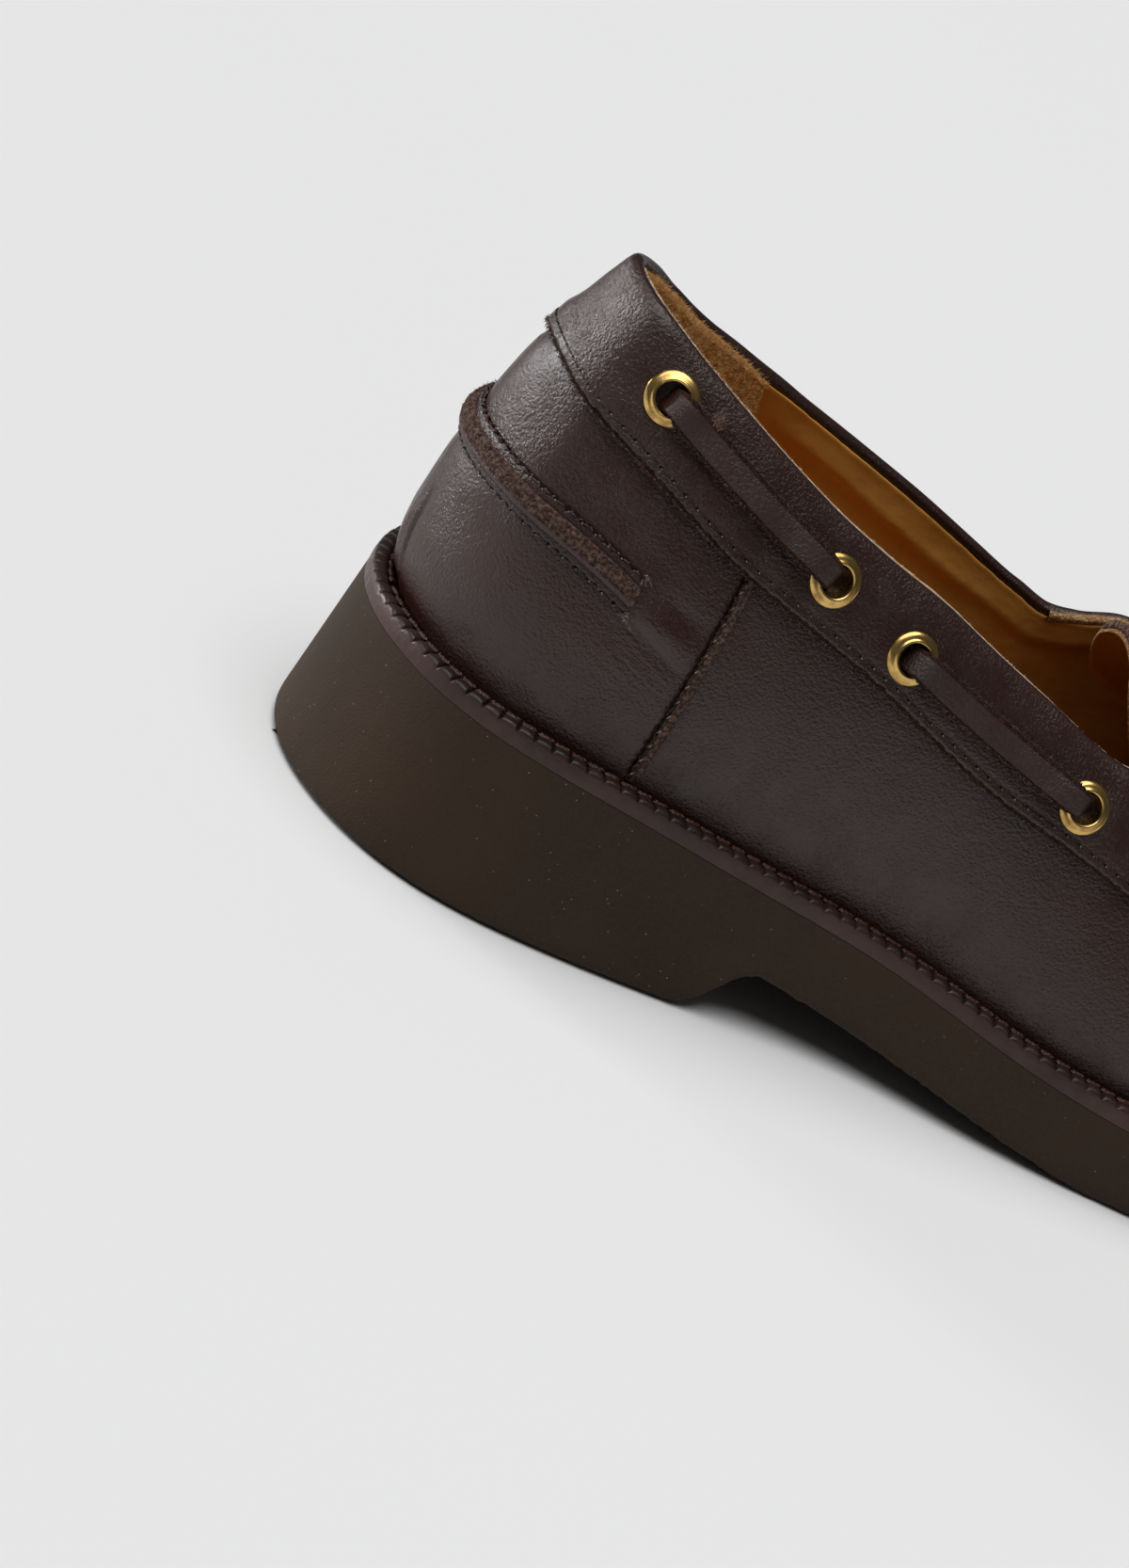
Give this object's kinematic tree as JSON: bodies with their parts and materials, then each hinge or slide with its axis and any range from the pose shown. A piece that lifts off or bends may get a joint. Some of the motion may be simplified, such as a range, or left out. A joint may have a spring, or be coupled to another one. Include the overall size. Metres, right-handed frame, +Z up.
{
  "type": "lace-up loafer",
  "caption": "Right moccasin-cut leather loafer on a welted rubber sole with a low heel, its flat lace threaded through brass eyelets around the collar.",
  "frame": {"origin": "bottom centre of the whole shoe's box, on the floor it stands on", "axes": "+X heel to toe, +Y to the wearer's left (the inner side of this right shoe), +Z up"},
  "size_m": [0.2869, 0.0958, 0.1047],
  "materials": {
    "rubber_sole": "matt dark olive-brown moulded rubber with fine light flecks",
    "welt_leather": "smooth reddish-brown dressed leather edge",
    "insole_leather": "tan vegetable-tanned leather",
    "upper_leather": "semi-gloss dark brown waxed full-grain leather",
    "band_leather": "semi-gloss dark grey-brown leather with a raw lower edge",
    "raw_leather": "matt raw-cut suede side of brown leather",
    "tongue_leather": "dark brown leather with a raw tan edge and a golden tan lining",
    "eyelet_brass": "aged yellow brass with dark smudges",
    "lace_leather": "flat-cut oiled dark brown leather thong"
  },
  "bodies": {
    "root": {"outsole": "rubber_sole", "welt": "welt_leather", "insole": "insole_leather", "upper": "upper_leather", "collar_band": "band_leather", "heel_strip": "raw_leather", "tongue": "tongue_leather", "eyelet_lateral_1": "eyelet_brass", "eyelet_lateral_2": "eyelet_brass", "eyelet_lateral_3": "eyelet_brass", "eyelet_lateral_4": "eyelet_brass", "eyelet_lateral_5": "eyelet_brass", "eyelet_lateral_6": "eyelet_brass", "eyelet_medial_1": "eyelet_brass", "eyelet_medial_2": "eyelet_brass", "eyelet_medial_3": "eyelet_brass", "eyelet_medial_4": "eyelet_brass", "eyelet_medial_5": "eyelet_brass", "eyelet_medial_6": "eyelet_brass", "lace_lateral_rear": "lace_leather", "lace_lateral_front": "lace_leather", "lace_medial_rear": "lace_leather", "lace_medial_front": "lace_leather", "lace_throat": "lace_leather"}
  },
  "joints": []
}
